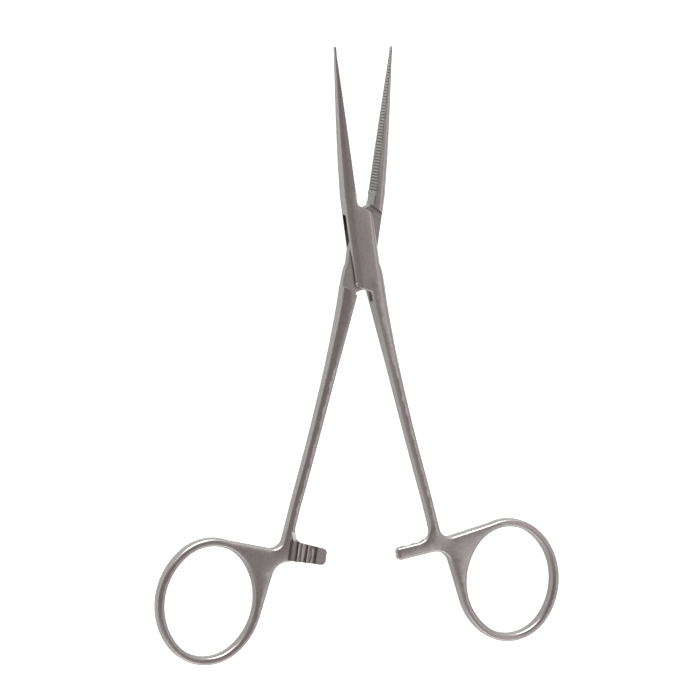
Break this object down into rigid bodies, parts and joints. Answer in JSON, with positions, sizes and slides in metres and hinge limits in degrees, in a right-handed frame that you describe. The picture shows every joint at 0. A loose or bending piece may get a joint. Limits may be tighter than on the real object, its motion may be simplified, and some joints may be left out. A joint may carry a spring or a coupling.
{
  "type": "hemostat forceps",
  "caption": "Straight steel hemostat with a box lock, finger rings, ratchet arms and cross-serrated jaws, lying part open.",
  "frame": {"origin": "on the pivot axis, in the plane of the lock's underside", "axes": "+Y towards the jaw tips, +Z out of the face that the picture shows, X in the plane of the instrument, +X on the side of the slotted half's finger ring"},
  "size_m": [0.1018, 0.1422, 0.0047],
  "materials": {
    "box_steel": "satin",
    "tongue_steel": "satin",
    "pin_steel": "satin"
  },
  "bodies": {
    "box_half": {"box_half": "box_steel", "lock_pin": "pin_steel"},
    "tongue_half": {"tongue_half": "tongue_steel"}
  },
  "joints": [
    {"name": "lock_hinge", "type": "hinge", "parent": "box_half", "child": "tongue_half", "pos_m": [0, 0, 0], "axis": [0, 0, 1], "range_deg": [-53.2, 16.8]}
  ]
}
